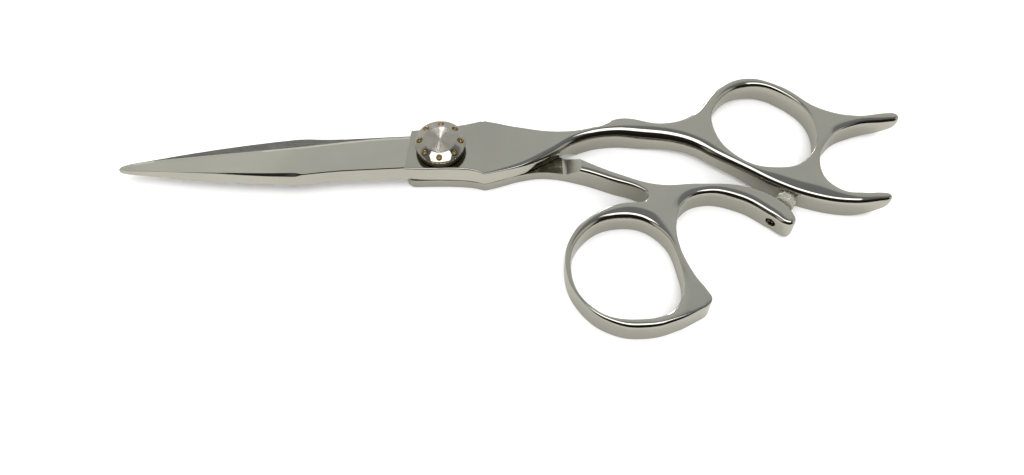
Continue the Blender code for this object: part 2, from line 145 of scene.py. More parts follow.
# Finger openings: x, y, width and radius of the rounding along the upper edge
FINGER_RING = [
    (59.3, 3.0, 0.5, 0.2), (60.9, 8.7, 0.9, 0.6), (67.8, 12.9, 1.2, 0.9),
    (75.6, 10.4, 0.75, 0.6), (81.05, 1.2, 0.6, 0.2), (77.2, -7.0, 0.5, 0.2),
    (71.2, -8.35, 0.4, 0.2), (64.2, -6.0, 0.35, 0.15),
]
THUMB_OUTLINE = [
    (-7.3, -5.3, 0.2, 0.1, 0), (-6.4, -6.2, 0.3, 0.25, 0, CRISP),
    (3.5, -6.7, 0.3, 0.25, 0), (7.2, -7.3, 0.3, 0.25, 0),
    (9.0, -7.95, 0.3, 0.25, 0, CRISP), (11.8, -7.3, 0.25, 0.2, 0), (17.0, -6.0, 0.3, 0.15, 0),
    (22.0, -5.6, 0.5, 0.3, 0), (29.4, -7.4, 1.3, 0.8, 0), (36.0, -10.15, 1.2, 0.8, 0),
    (42.0, -12.75, 0.8, 0.5, 0), (43.1, -13.9, 0.3, 0.2, 0), (42.5, -15.4, 0.15, 0.1, 0),
    (40.6, -15.75, 0.15, 0.1, 0), (37.0, -15.9, 0.3, 0.2, 0), (31.4, -18.1, 0.45, 0.25, 0),
    (26.5, -22.7, 0.45, 0.25, 0), (24.5, -30.0, 0.35, 0.25, 0), (27.0, -37.9, 0.5, 0.4, 0),
    (33.0, -43.15, 0.9, 0.8, 0), (39.8, -44.4, 1.1, 1.0, 0), (46.0, -43.1, 0.9, 0.7, 0),
    (50.4, -41.1, 0.5, 0.2, 0), (52.5, -39.9, 0.4, 0.2, 0), (53.15, -38.7, 0.4, 0.2, 0),
    (52.6, -37.3, 0.4, 0.2, 0), (50.1, -32.8, 0.35, 0.2, 0), (48.0, -25.5, 0.4, 0.2, 0),
    (48.3, -20.5, 1.2, 0.25, 0), (49.9, -16.7, 2.2, 0.6, 0), (54.5, -14.3, 1.5, 1.0, 0),
    (62.0, -15.85, 1.85, 1.2, 0), (68.6, -20.7, 1.7, 1.1, 0), (70.6, -22.5, 1.1, 0.9, 0),
    (71.9, -22.75, 1.0, 0.8, 0), (72.9, -21.8, 1.0, 0.7, 0), (72.5, -19.7, 0.8, 0.5, 0),
    (70.2, -16.7, 0.5, 0.3, 0), (63.5, -13.0, 0.4, 0.25, 0), (54.0, -11.85, 0.35, 0.2, 0),
    (45.5, -11.55, 0.5, 0.3, 0), (37.5, -8.6, 0.4, 0.2, 0), (30.3, -4.85, 0.3, 0.2, 0),
    (25.1, -1.6, 0.3, 0.2, 0), (18.8, 2.1, 0.2, 0.1, 0), (9.2, 6.0, 0.2, 0.1, 0),
    (2.0, 5.1, 0.2, 0.1, 0), (-7.9, 5.1, 0.12, 0.1, 0),
]
THUMB_RING = [
    (37.0, -19.2, 2.3, 1.2), (44.0, -22.0, 2.6, 1.0), (47.45, -30.0, 0.8, 0.25),
    (45.9, -39.7, 1.4, 0.2), (37.5, -42.25, 0.3, 0.15), (29.2, -39.2, 0.3, 0.15),
    (25.8, -30.5, 0.4, 0.3), (29.2, -22.3, 1.2, 0.9),
]

# The handles' free tips, where the sections turn round: x, y, reach and radius underneath
ROUND_TIPS = [(99.2, 3.2, 10.0, 1.2), (93.4, -16.9, 9.0, 1.2), (72.0, -21.2, 7.0, 1.6)]
TIP_DEEPENS = 0.4
TIP_FOOT_INSET = 0.7
TANG_TAPERS = [(100.2, 14.0), (94.4, 10.0)]   # end and length, for the far and near tang
TANGS_PART_Y = -8.0       # the far tang lies above this, the near one below
TANG_RISE = 4.2           # how far the underside would rise right at the tip
TANG_TAPER_END = 0.95

# The finger half's blade from tip to heel: x, half width to the cutting edge, half width
# to the back, height of the ridge, its place, height of the lower ridge, its place.
BLADE_STATIONS = [
    (-69.0, 0.42, 0.58, 0.57, 0.34, 0.56, 0.37),
    (-68.8, 0.64, 0.84, 0.63, 0.54, 0.62, 0.57),
    (-68.2, 0.86, 1.12, 0.70, 0.76, 0.68, 0.79),
    (-62.0, 1.80, 2.20, 1.16, 1.57, 1.13, 1.62),
    (-56.0, 2.22, 3.18, 1.60, 2.41, 1.58, 2.46),
    (-46.0, 2.86, 4.55, 2.12, 3.42, 1.97, 3.68),
    (-36.0, 3.46, 5.60, 2.33, 4.18, 1.96, 4.79),
    (-33.0, 3.65, 5.84, 2.34, 4.30, 1.92, 4.98),
    (-31.0, 3.78, 6.00, 2.35, 4.38, 1.93, 5.12),
    (-29.5, 3.88, 5.98, 2.44, 4.84, 2.30, 5.02),
    (-26.0, 4.18, 5.72, 2.46, 4.58, 2.32, 4.76),
    (-20.0, 4.70, 5.52, 2.55, 4.36, 2.41, 4.54),
    (-12.0, 5.12, 5.60, 2.65, 4.38, 2.51, 4.56),
    (-3.0, 5.20, 5.60, 2.72, 4.38, 2.58, 4.56),
]

# The rounded edges of the handles
APRON_START = radians(4)  # a wide rounding starts as a shallow apron between these tilts
APRON_TILT = radians(13)
SLOPE_TILT = radians(28)  # then steepens to this one, and ends in a round edge
SLOPE_SHARE = 0.27        # width of the steeper slope, as a share of the edge's radius
MIN_APRON = 0.02
FOOT_ROUND = 0.3
HEEL_ROUND = 0.12         # on the straight end of a handle
RING_CROWN = 0.3          # how far a finger opening's wall stands back at its top and bottom
METAL_SHARE = 0.9         # of a bar's width that the roundings of its two edges may take
SHARE_REACH = 4           # samples on each side that a narrowed rounding spreads over
RADIUS_FIT = 0.9          # a narrowed rounding's width is at least this share of its radius
SHAPE_SIGMA = 0.35        # smoothing of an outline's own shape
EDGE_SIGMA = 1.5          # smoothing of the widths, radii and leans along it

# How finely the smooth surfaces are cut up
CURVE_SAMPLES = 200       # on each stretch between two rows of an outline
FINE_STEP = 0.05          # between the even samples that are smoothed
MAX_STEP = 0.5            # along an outline
MAX_TURN = radians(6)
HEEL_POINTS = 9           # on the straight end of a handle, and where they start and stop
HEEL_SPAN = (0.15, 0.85)
APRON_STEPS = 6
SLOPE_STEPS = 3
EDGE_STEPS = 9
WALL_STEPS = 4
FOOT_STEPS = 6
RAMP_STEPS = 8            # in the hollow at the foot of a ramp
BLADE_STEP = 1.0
BORE_SEGMENTS = 64
SMALL_SEGMENTS = 40       # around a pin or a small hole
CONE_STEPS = 12
TOOTH_SAMPLES = 4
DOME_STEPS = 12
DIMPLE_STEPS = 8
FLANGE_STEPS = 5
CHAMFER_STEPS = 4

# Edges sharper than these stay crisp in the shading
HANDLE_SHARP = radians(14)
DIAL_SHARP = radians(25)
PIN_SHARP = radians(30)
BUMPER_SHARP = radians(40)

# How the riding faces and ramps are told from the other faces
TOLERANCE = 0.01
FLAT_NORMAL = 0.99
RAMP_NORMAL = 0.02
SIDEWAYS_NORMAL = 0.001
RAMP_SPAN = 6.0

# The studio, in metres: name, place, size, radiance, what it is aimed at (straight down where
# there is nothing) and whether it shows in reflections
LIGHTS = [
    ("softbox", (-0.035, -0.20, 1.0), (0.83, 0.44), 2.6, None, True),
    ("ceiling", (0.0, 0.0, 2.0), (4.0, 4.0), 1.0, None, False),
    ("front", (-0.05, -1.0, 0.8), (0.8, 0.8), 4.5, (0, 0, 0), False),
    ("window", (0.9, 0.6, 0.9), (0.6, 0.6), 8.0, (0.02, 0, 0), False),
]
FLOOR_HALF = 3.0
FLOOR_DROP = 0.00003
FLOOR_COLOUR = (0.93, 0.93, 0.93)
FLOOR_IN_REFLECTIONS = (0.55, 0.545, 0.52)

# The room that the steel reflects: radiance by the angle in degrees from the horizon behind
# the shears, over the zenith, to the one in front of them
ROOM = [
    (0, (0.72, 0.74, 0.72)), (30, (0.69, 0.71, 0.69)), (62, (0.57, 0.59, 0.58)),
    (67, (0.50, 0.52, 0.51)), (70, (0.27, 0.28, 0.30)), (90, (0.21, 0.22, 0.24)),
    (112, (0.17, 0.17, 0.18)), (120, (0.03, 0.028, 0.027)), (160, (0.012, 0.010, 0.010)),
    (170, (0.028, 0.014, 0.010)), (177, (0.09, 0.05, 0.035)), (180, (0.22, 0.18, 0.14)),
]

# Brighter and darker things in the room: direction, half width and half height in degrees,
# how soft the border is (share of the half size), and radiance.
ROOM_PATCHES = [
    ((-1.0, 0.1, 0.35), 38, 30, 0.5, (0.62, 0.62, 0.57)),
    ((1.0, 0.1, 0.35), 38, 30, 0.5, (0.60, 0.60, 0.55)),
    ((-0.62, 0.89, 0.445), 26, 5, 0.3, (0.76, 0.78, 0.75)),
    ((-0.209, 0.691, 0.69), 4, 4.5, 0.25, (0.26, 0.26, 0.26)),
    ((-0.096, 0.76, 0.645), 2.5, 6, 0.2, (2.0, 2.0, 1.95)),
    ((0.001, 0.771, 0.636), 1.5, 6, 0.2, (13.0, 13.0, 13.0)),
]

# The camera, in millimetres like the shears
CAMERA_PLACE = (8.385, -133.400, 201.313)
CAMERA_AIM = (14.27, -19.65, 0)
CAMERA_LENS = 38.67
CAMERA_SENSOR = 36
CAMERA_CLIP = 5.0


# ---- curves and profiles

def smooth_along(values, sigma, closed):
    """Gaussian smoothing of evenly spaced values; sigma is in samples."""
    reach = int(4 * sigma)
    kernel = np.exp(-0.5 * (np.arange(-reach, reach + 1) / sigma) ** 2)
    if closed:
        padded = np.pad(values, reach, mode="wrap")
    else:
        padded = np.pad(values, reach, mode="reflect", reflect_type="odd")
    return np.convolve(padded, kernel / kernel.sum(), mode="valid")


def bezier_stretches(table, closed):
    """Control points of each stretch of the smooth curve through a table's points."""
    curve = bpy.data.curves.new("outline", 'CURVE')
    spline = curve.splines.new('BEZIER')
    spline.bezier_points.add(len(table) - 1)
    spline.use_cyclic_u = True
    for index, (knot, row) in enumerate(zip(spline.bezier_points, table)):
        knot.co = (row[0], row[1], 0.0)
        corner = row[-1] is CRISP or (not closed and index in (0, len(table) - 1))
        knot.handle_left_type = knot.handle_right_type = 'VECTOR' if corner else 'AUTO'
    knots = list(spline.bezier_points)
    stretches = []
    for start, end in zip(knots, knots[1:] + (knots[:1] if closed else [])):
        corners = (start.co, start.handle_right, end.handle_left, end.co)
        stretches.append(np.array([corner[:2] for corner in corners]))
    bpy.data.curves.remove(curve)
    return stretches


def sampled_outline(table, closed):
    """Points, unit normals and further columns along the smooth curve through a table."""
    places = []
    share = np.arange(CURVE_SAMPLES)[:, None] / CURVE_SAMPLES
    for stretch in bezier_stretches(table, closed):
        places.append(stretch[0] * (1 - share) ** 3 + stretch[1] * 3 * share * (1 - share) ** 2
                      + stretch[2] * 3 * share ** 2 * (1 - share) + stretch[3] * share ** 3)
    last = table[0] if closed else table[-1]
    places = np.vstack(places + [np.array([last[:2]])])
    run = np.concatenate([[0.0], np.cumsum(np.hypot(*np.diff(places, axis=0).T))])
    fine = np.linspace(0, run[-1], int(run[-1] / FINE_STEP) + 1)
    knots = run[::CURVE_SAMPLES]
    rows = [row[:-1] if row[-1] is CRISP else row for row in table]
    rows += rows[:1] if closed else []
    columns = [np.interp(fine, run, places[:, 0]), np.interp(fine, run, places[:, 1])]
    columns += [np.interp(fine, knots, column) for column in list(zip(*rows))[2:]]
    sigmas = [SHAPE_SIGMA] * 2 + [EDGE_SIGMA] * (len(columns) - 2)
    if closed:
        columns = [column[:-1] for column in columns]
    columns = [smooth_along(column, sigma / FINE_STEP, closed)
               for column, sigma in zip(columns, sigmas)]
    if closed:
        columns = [np.append(column, column[0]) for column in columns]
    steps = [np.gradient(column) for column in columns[:2]]
    if closed:
        for step, column in zip(steps, columns):
            step[0] = step[-1] = (column[1] - column[-2]) / 2
    heading = np.unwrap(np.arctan2(steps[1], steps[0]))
    effort = np.abs(np.diff(heading)) / MAX_TURN + fine[1] / MAX_STEP
    effort = np.concatenate([[0.0], np.cumsum(effort)])
    picks = np.linspace(0, effort[-1], ceil(effort[-1]) + 1)
    if closed:
        picks = picks[:-1]
    x, y, heading, *extra = [np.interp(picks, effort, column)
                             for column in (columns[0], columns[1], heading, *columns[2:])]
    normals = np.stack([np.sin(heading), -np.cos(heading)], axis=1)
    area = np.sum(x * np.roll(y, -1) - y * np.roll(x, -1))
    if area < 0:
        normals = -normals
    return np.stack([x, y], axis=1), normals, extra


def closed_by_line(points, normals, columns):
    """Close an open outline with a straight, upright stretch from its end to its start."""
    share = np.linspace(*HEEL_SPAN, HEEL_POINTS)[:, None]
    line = points[-1] * (1 - share) + points[0] * share
    along = points[0] - points[-1]
    side = np.array([along[1], -along[0]]) / np.hypot(*along)
    if side @ (points.mean(0) - points[0]) > 0:
        side = -side
    points = np.vstack([points, line])
    normals = np.vstack([normals, np.repeat(side[None], HEEL_POINTS, axis=0)])
    fills = [np.full(HEEL_POINTS, value) for value in (HEEL_ROUND, HEEL_ROUND / 2, 0.0)]
    return points, normals, [np.append(column, fill) for column, fill in zip(columns, fills)]


def edge_rounding(width, radius, deepen):
    """Insets and drops from the flat top over apron, slope and round edge to the wall."""
    edge = radius * (1 - sin(SLOPE_TILT))
    slope = radius * SLOPE_SHARE
    apron = max(width - edge - slope, MIN_APRON)
    inset, drop = apron + slope + edge, 0.0
    rows = [(inset, drop)]
    for span, steps, start, end in ((apron, APRON_STEPS, APRON_START, APRON_TILT),
                                    (slope, SLOPE_STEPS, APRON_TILT, SLOPE_TILT)):
        for step in range(steps):
            tilt = start + (end - start) * (step + 0.5) / steps
            inset -= span / steps
            drop += span / steps * tan(tilt) * deepen
            rows.append((inset, drop))
    for step in range(1, EDGE_STEPS + 1):
        tilt = SLOPE_TILT + (pi / 2 - SLOPE_TILT) * step / EDGE_STEPS
        rows.append((radius * (1 - sin(tilt)),
                     drop + radius * (cos(SLOPE_TILT) - cos(tilt)) * deepen))
    return rows


def tip_closeness(x, y):
    """How near a point is to a round tip, 0 to 1, and the radius underneath there."""
    best, foot = 0.0, FOOT_ROUND
    for tip_x, tip_y, reach, radius in ROUND_TIPS:
        near = min(max(1 - np.hypot(x - tip_x, y - tip_y) / reach, 0.0), 1.0)
        near = near * near * (3 - 2 * near)
        if near > best:
            best, foot = near, FOOT_ROUND + (radius - FOOT_ROUND) * near
    return best, foot


def share_metal(points, columns, others, other_columns):
    """Narrow the roundings where those of two facing walls would run into each other."""
    needs = columns[0] + columns[2]
    other_needs = other_columns[0] + other_columns[2]
    gaps = np.hypot(*(points[:, None] - others[None]).transpose(2, 0, 1))
    nearest = gaps.argmin(axis=1)
    room = gaps[np.arange(len(points)), nearest] * METAL_SHARE
    shares = np.minimum(1.0, room / (needs + other_needs[nearest]))
    reach = range(-SHARE_REACH, SHARE_REACH + 1)
    shares = np.min([np.roll(shares, step) for step in reach], axis=0)
    shares = smooth_along(shares, SHARE_REACH / 2, True)
    width, radius = columns[0] * shares, columns[1]
    return [width, np.minimum(radius, width / RADIUS_FIT), columns[2] * shares]


def wall_profile(width, radius, lean, crown, base, place):
    """Inset and height of each ring from the rim of the flat top down to the bottom."""
    closeness, foot = tip_closeness(*place)
    rings = [(inset, HEIGHT - drop) for inset, drop in
             edge_rounding(width, radius, 1 + TIP_DEEPENS * closeness)]
    top = rings[-1][1]
    low = base + foot
    for step in range(1, WALL_STEPS):
        rings.append((0.0, top + (low - top) * step / WALL_STEPS))
    foot_inset = foot if closeness == 0 else min(foot, TIP_FOOT_INSET)
    for step in range(FOOT_STEPS + 1):
        angle = pi / 2 * step / FOOT_STEPS
        rings.append((foot_inset * (1 - cos(angle)), low - foot * sin(angle)))
    middle = (HEIGHT + base) / 2
    out = []
    for inset, z in rings:
        leaning = lean * min(max((z - RIDE_HIGH) / (HEIGHT - RIDE_HIGH), 0), 1)
        bulge = crown * ((z - middle) / (HEIGHT - middle)) ** 2
        out.append((inset + leaning + bulge, z))
    return out


# ---- meshes

def linked(name, data):
    """A new object in the scene."""
    item = bpy.data.objects.new(name, data)
    bpy.context.scene.collection.objects.link(item)
    return item


def finished(work, name, materials=()):
    """An object with the finished mesh, its normals outwards."""
    bmesh.ops.recalc_face_normals(work, faces=work.faces)
    mesh = bpy.data.meshes.new(name)
    work.to_mesh(mesh)
    work.free()
    for material in materials:
        mesh.materials.append(material)
    return linked(name, mesh)


def add_loop(work, outline, columns, inward, base_of):
    """One closed wall of a forged plate; returns the edges of its upper and lower rim."""
    points, normals = outline
    rings = []
    for index, (point, normal) in enumerate(zip(points, normals)):
        width, radius, *rest = [column[index] for column in columns]
        lean, crown = (0.0, rest[0]) if inward else (rest[0], 0.0)
        side = -normal if inward else normal
        ring = []
        for inset, z in wall_profile(width, radius, lean, crown, base_of(point), point):
            x, y = point - side * inset
            ring.append(work.verts.new((x * MM, y * MM, z * MM)))
        rings.append(ring)
    rims = ([], [])
    for near, far in zip(rings, rings[1:] + rings[:1]):
        for level in range(len(near) - 1):
            work.faces.new((near[level], far[level], far[level + 1], near[level + 1]))
        rims[0].append(work.edges.get((near[0], far[0])))
        rims[1].append(work.edges.get((near[-1], far[-1])))
    return rims


def forged_plate(name, outline, ring, base_of):
    """A handle with its finger ring, full height, with its edges rounded by the tables."""
    work = bmesh.new()
    points, normals, columns = closed_by_line(*sampled_outline(outline, False))
    hole, hole_normals, hole_columns = sampled_outline(ring, True)
    hole_columns.append(np.full(len(hole), RING_CROWN))
    fitted = share_metal(points, columns, hole, hole_columns)
    hole_columns = share_metal(hole, hole_columns, points, columns)
    outer = add_loop(work, (points, normals), fitted, False, base_of)
    inner = add_loop(work, (hole, hole_normals), hole_columns, True, base_of)
    for level in range(2):
        bmesh.ops.triangle_fill(work, edges=outer[level] + inner[level],
                                use_beauty=True, use_dissolve=False)
    return finished(work, name)


def finger_underside(place):
    """The finger handle arches clear of the table, and its two tangs thin to their tips."""
    x, y = place
    along = (x - ARCH_START) / (ARCH_END - ARCH_START)
    rise = ARCH_RISE * sin(pi * along) ** 2 if 0 < along < 1 else 0.0
    tip_x, length = TANG_TAPERS[0 if y > TANGS_PART_Y else 1]
    taper = min(max((x - tip_x + length) / length, 0.0), TANG_TAPER_END)
    return rise + TANG_RISE * (1 - (1 - taper ** 2) ** 0.5)


def flat_underside(place):
    return 0.0


def boolean(part, operation, other):
    """Apply an exact Boolean to a part's mesh and remove the other object."""
    step = part.modifiers.new(operation.lower(), 'BOOLEAN')
    step.operation = operation
    step.object = other
    step.solver = 'EXACT'
    step.material_mode = 'TRANSFER' if other.data.materials else 'INDEX'
    bpy.context.view_layer.update()
    graph = bpy.context.evaluated_depsgraph_get()
    mesh = bpy.data.meshes.new_from_object(part.evaluated_get(graph))
    part.modifiers.clear()
    part.data = mesh
    bpy.data.objects.remove(other, do_unlink=True)


def gentle(xs, values, at):
    """Values between stations along a monotone cubic, so no facet line shows."""
    steps = np.diff(xs)
    slopes = np.diff(values) / steps
    tangents = np.zeros_like(values)
    tangents[0], tangents[-1] = slopes[0], slopes[-1]
    for knot in range(1, len(xs) - 1):
        left, right = slopes[knot - 1], slopes[knot]
        if left * right > 0:
            weight_left = 2 * steps[knot] + steps[knot - 1]
            weight_right = steps[knot] + 2 * steps[knot - 1]
            tangents[knot] = (weight_left + weight_right) / (
                weight_left / left + weight_right / right)
    span = np.clip(np.searchsorted(xs, at, side="right") - 1, 0, len(steps) - 1)
    share = (at - xs[span]) / steps[span]
    return (values[span] * (1 + 2 * share) * (1 - share) ** 2
            + values[span + 1] * share ** 2 * (3 - 2 * share)
            + tangents[span] * steps[span] * share * (1 - share) ** 2
            + tangents[span + 1] * steps[span] * share ** 2 * (share - 1))


def blade_rows():
    """The stations refined to BLADE_STEP along the blade."""
    table = np.array(BLADE_STATIONS)
    xs = [table[0, 0]]
    for start, end in zip(table[:, 0], table[1:, 0]):
        count = ceil((end - start) / BLADE_STEP)
        xs += [start + (end - start) * (step + 1) / count for step in range(count)]
    xs = np.array(xs)
    columns = [gentle(table[:, 0], table[:, column], xs) for column in range(1, 7)]
    return zip(xs, *columns)


def blade_section(station, flip):
    """Corners of the blade at a station; the thumb half's blade is the same upside down."""
    x, edge, back, ridge_z, ridge_y, low_z, low_y = station
    band = min(CUT_BAND, (edge + ridge_y) * CUT_SHARE)
    wall_run = (back - low_y) / low_z
    corners = [
        (edge + ROOT_DEPTH / tan(CUT_ANGLE), -ROOT_DEPTH),
        (edge - band, band * tan(CUT_ANGLE)),
        (-ridge_y, ridge_z),
        (-low_y, low_z),
        (-back - wall_run * ROOT_DEPTH, -ROOT_DEPTH),
    ]
    if flip:
        return [(x * MM, (CENTRE_Y - y) * MM, (RIDE_LOW - z) * MM) for y, z in corners]
    return [(x * MM, (CENTRE_Y + y) * MM, (RIDE_HIGH + z) * MM) for y, z in corners]


def bridged(name, rings):
    """A solid through closed rings of corners, capped at both ends."""
    work = bmesh.new()
    rings = [[work.verts.new(corner) for corner in ring] for ring in rings]
    for near, far in zip(rings, rings[1:]):
        for side in range(len(near)):
            after = (side + 1) % len(near)
            work.faces.new((near[side], near[after], far[after], far[side]))
    work.faces.new(rings[0])
    work.faces.new(rings[-1])
    return finished(work, name)


def blade_blank(name, flip):
    return bridged(name, [blade_section(station, flip) for station in blade_rows()])


def riding_cutter(name, face_z, side):
    """Everything beyond a riding face, ending in a short hollow and a straight ramp."""
    reach = HEIGHT - RIDE_LOW
    profile = [(BLADE_TIP - CUTTER_MARGIN, 0.0)]
    for step in range(RAMP_STEPS + 1):
        angle = RAMP_TILT * step / RAMP_STEPS
        profile.append((RAMP_START + RAMP_HOLLOW * sin(angle), RAMP_HOLLOW * (1 - cos(angle))))
    crest = profile[-1][0] + (reach - profile[-1][1]) / tan(RAMP_TILT)
    profile += [(crest, reach), (BLADE_TIP - CUTTER_MARGIN, reach)]
    return bridged(name, [[(x * MM, y * MM, (face_z + side * z) * MM) for x, z in profile]
                          for y in (-CUT_HALF_WIDTH, CUT_HALF_WIDTH)])


def drill(part, radius, start, end, segments=BORE_SEGMENTS, lining=None):
    """A round hole between two points, with a material of its own if wanted."""
    start, end = Vector(start) * MM, Vector(end) * MM
    work = bmesh.new()
    bmesh.ops.create_cone(work, cap_ends=True, segments=segments, radius1=radius * MM,
                          radius2=radius * MM, depth=(end - start).length)
    turn = Vector((0, 0, 1)).rotation_difference(end - start)
    place = Matrix.Translation((start + end) / 2) @ turn.to_matrix().to_4x4()
    bmesh.ops.transform(work, matrix=place, verts=work.verts)
    boolean(part, 'DIFFERENCE', finished(work, "drill", (lining,) if lining else ()))


def lathe(name, profile, segments, materials, teeth=0):
    """A turned solid from rows of radius, height and, where the edge is toothed, depth."""
    work = bmesh.new()
    rings = []
    for radius, z, *depth in profile:
        ring = []
        for step in range(segments):
            angle = 2 * pi * step / segments
            reach = radius - sum(depth) * (0.5 + 0.5 * cos(teeth * angle))
            place = (reach * cos(angle) * MM, reach * sin(angle) * MM, z * MM)
            ring.append(work.verts.new(place) if radius or not ring else ring[0])
        rings.append(ring)
    for near, far in zip(rings, rings[1:]):
        for step in range(segments):
            after = (step + 1) % segments
            corners = (near[step], far[step], far[after], near[after])
            work.faces.new(tuple(dict.fromkeys(corners)))
    return finished(work, name, materials)


def place_along(part, direction, offset):
    """Turn a part from the Z axis to a direction and shift it, all within its mesh."""
    turn = Vector((0, 0, 1)).rotation_difference(Vector(direction)).to_matrix().to_4x4()
    part.data.transform(Matrix.Translation(Vector(offset) * MM) @ turn)


def arc_rows(radius, z, bend, start, end, count):
    """Rows along an arc of the given bend radius around a point of the profile."""
    angles = [start + (end - start) * step / count for step in range(count + 1)]
    return [(max(radius + bend * cos(angle), 0), z + bend * sin(angle)) for angle in angles]


def on_bumper_axis(distance):
    return (BUMPER_SEAT[0] + distance * cos(BUMPER_ANGLE),
            BUMPER_SEAT[1] + distance * sin(BUMPER_ANGLE), BUMPER_Z)


def shade(part, sharp_angle):
    part.data.shade_smooth()
    part.data.set_sharp_from_angle(angle=sharp_angle)
    weights = part.modifiers.new("normals", 'WEIGHTED_NORMAL')
    weights.keep_sharp = True


def polish(part, ride_z, facing):
    """Smooth shading with crisp corners, and the ground finish on the riding faces."""
    mesh = part.data
    mesh.materials.clear()
    for material in (STEEL, GROUND, SATIN):
        mesh.materials.append(material)
    for face in mesh.polygons:
        level = abs(face.center.z / MM - ride_z) < TOLERANCE
        ramp = (face.normal.x < -RAMP_NORMAL and abs(face.normal.y) < SIDEWAYS_NORMAL
                and RAMP_START < face.center.x / MM < RAMP_START + RAMP_SPAN)
        if level and face.normal.z * facing > FLAT_NORMAL:
            face.material_index = 1
        elif ramp and face.normal.z * facing > 0:
            face.material_index = 2
        else:
            face.material_index = 0
    shade(part, HANDLE_SHARP)


# ---- materials

def calculated(tree, operation, *values):
    """The output of a math node on outputs or plain numbers."""
    node = tree.nodes.new("ShaderNodeMath")
    node.operation = operation
    for socket, value in zip(node.inputs, values):
        if isinstance(value, (int, float)):
            socket.default_value = value
        else:
            tree.links.new(value, socket)
    return node.outputs[0]


def mixed(tree, amount, first, second):
    """A colour between two colours or colour outputs."""
    node = tree.nodes.new("ShaderNodeMix")
    node.data_type = 'RGBA'
    for socket, colour in (("A", first), ("B", second)):
        if isinstance(colour, tuple):
            node.inputs[socket].default_value = (*colour, 1.0)
        else:
            tree.links.new(colour, node.inputs[socket])
    tree.links.new(amount, node.inputs["Factor"])
    return node.outputs["Result"]


class Look:
    """A Principled material with helpers that add procedural detail to it."""

    def __init__(self, name, colour, roughness, metallic=1.0):
        self.material = bpy.data.materials.new(name)
        self.material.use_nodes = True
        self.tree = self.material.node_tree
        self.nodes = self.tree.nodes
        self.links = self.tree.links
        self.shader = self.nodes["Principled BSDF"]
        self.colour = colour
        self.set("Base Color", (*colour, 1.0))
        self.set("Roughness", roughness)
        self.set("Metallic", metallic)

    def set(self, socket, value):
        self.shader.inputs[socket].default_value = value

    def join(self, output, socket):
        self.links.new(output, self.shader.inputs[socket])

    def noise(self, stretch, detail=3.0, rough=0.55, turn=0.0):
        """Noise in the object's own coordinates; stretch is in features per metre."""
        place = self.nodes.new("ShaderNodeTexCoord")
        mapping = self.nodes.new("ShaderNodeMapping")
        mapping.inputs["Rotation"].default_value = (0, 0, turn)
        mapping.inputs["Scale"].default_value = stretch
        texture = self.nodes.new("ShaderNodeTexNoise")
        texture.inputs["Scale"].default_value = 1.0
        texture.inputs["Detail"].default_value = detail
        texture.inputs["Roughness"].default_value = rough
        self.links.new(place.outputs["Object"], mapping.inputs["Vector"])
        self.links.new(mapping.outputs["Vector"], texture.inputs["Vector"])
        return texture.outputs["Fac"]

    def scratches(self, stretch, low, high, turn=0.0):
        """Fine streaks: 0 nearly everywhere, 1 along the peaks of a stretched noise."""
        return self.remap(self.noise(stretch, 2.0, 0.5, turn), low, high, 0.0, 1.0)

    def remap(self, value, from_low, from_high, to_low, to_high):
        node = self.nodes.new("ShaderNodeMapRange")
        node.inputs["From Min"].default_value = from_low
        node.inputs["From Max"].default_value = from_high
        node.inputs["To Min"].default_value = to_low
        node.inputs["To Max"].default_value = to_high
        self.links.new(value, node.inputs["Value"])
        return node.outputs["Result"]

    def sum(self, first, second):
        return calculated(self.tree, 'ADD', first, second)

    def mix(self, amount, first, second):
        return mixed(self.tree, amount, first, second)

    def tint(self, amount, first, second):
        """Vary the surface between two colours."""
        self.join(self.mix(amount, first, second), "Base Color")

    def vary(self, texture, low, high, dark, light):
        """Vary the surface between two shares of its own colour."""
        self.tint(self.remap(texture, low, high, 0, 1), shaded(self.colour, dark),
                  shaded(self.colour, light))

    def roughen(self, texture, low, high, smooth, rough):
        self.join(self.remap(texture, low, high, smooth, rough), "Roughness")

    def along(self, axis):
        """The object's own coordinate along an axis, in metres."""
        place = self.nodes.new("ShaderNodeTexCoord")
        split = self.nodes.new("ShaderNodeSeparateXYZ")
        self.links.new(place.outputs["Object"], split.inputs[0])
        return split.outputs[axis]

    def bump(self, height, distance):
        """Relief of a height output, with its full depth in metres."""
        node = self.nodes.new("ShaderNodeBump")
        node.inputs["Strength"].default_value = 1.0
        node.inputs["Distance"].default_value = distance
        self.links.new(height, node.inputs["Height"])
        self.join(node.outputs["Normal"], "Normal")

    def turned(self, amount):
        """Reflections stretched across turning marks around the pivot axis."""
        tangent = self.nodes.new("ShaderNodeTangent")
        tangent.direction_type = 'RADIAL'
        tangent.axis = 'Z'
        self.set("Anisotropic", amount)
        self.set("Anisotropic Rotation", 0.25)
        self.join(tangent.outputs[0], "Tangent")


def shaded(colour, share):
    return tuple(channel * share for channel in colour)


def mirror_steel():
    """Hand-polished steel: a mirror with slow waves, hairlines and a little haze."""
    look = Look("mirror_steel", (0.505, 0.493, 0.436), 0.05)
    look.vary(look.noise((60, 60, 60)), 0.35, 0.65, 0.965, 1.035)
    haze = look.remap(look.noise((90, 90, 90), 4.0), 0.4, 0.75, 0.045, 0.085)
    hairlines = look.sum(look.scratches((120, 9000, 9000), 0.66, 0.8),
                         look.scratches((9000, 160, 9000), 0.7, 0.82, 0.5))
    look.join(look.sum(haze, look.remap(hairlines, 0, 1, 0, 0.07)), "Roughness")
    look.bump(look.noise((110, 110, 110), 1.0), 0.00002)
    return look.material


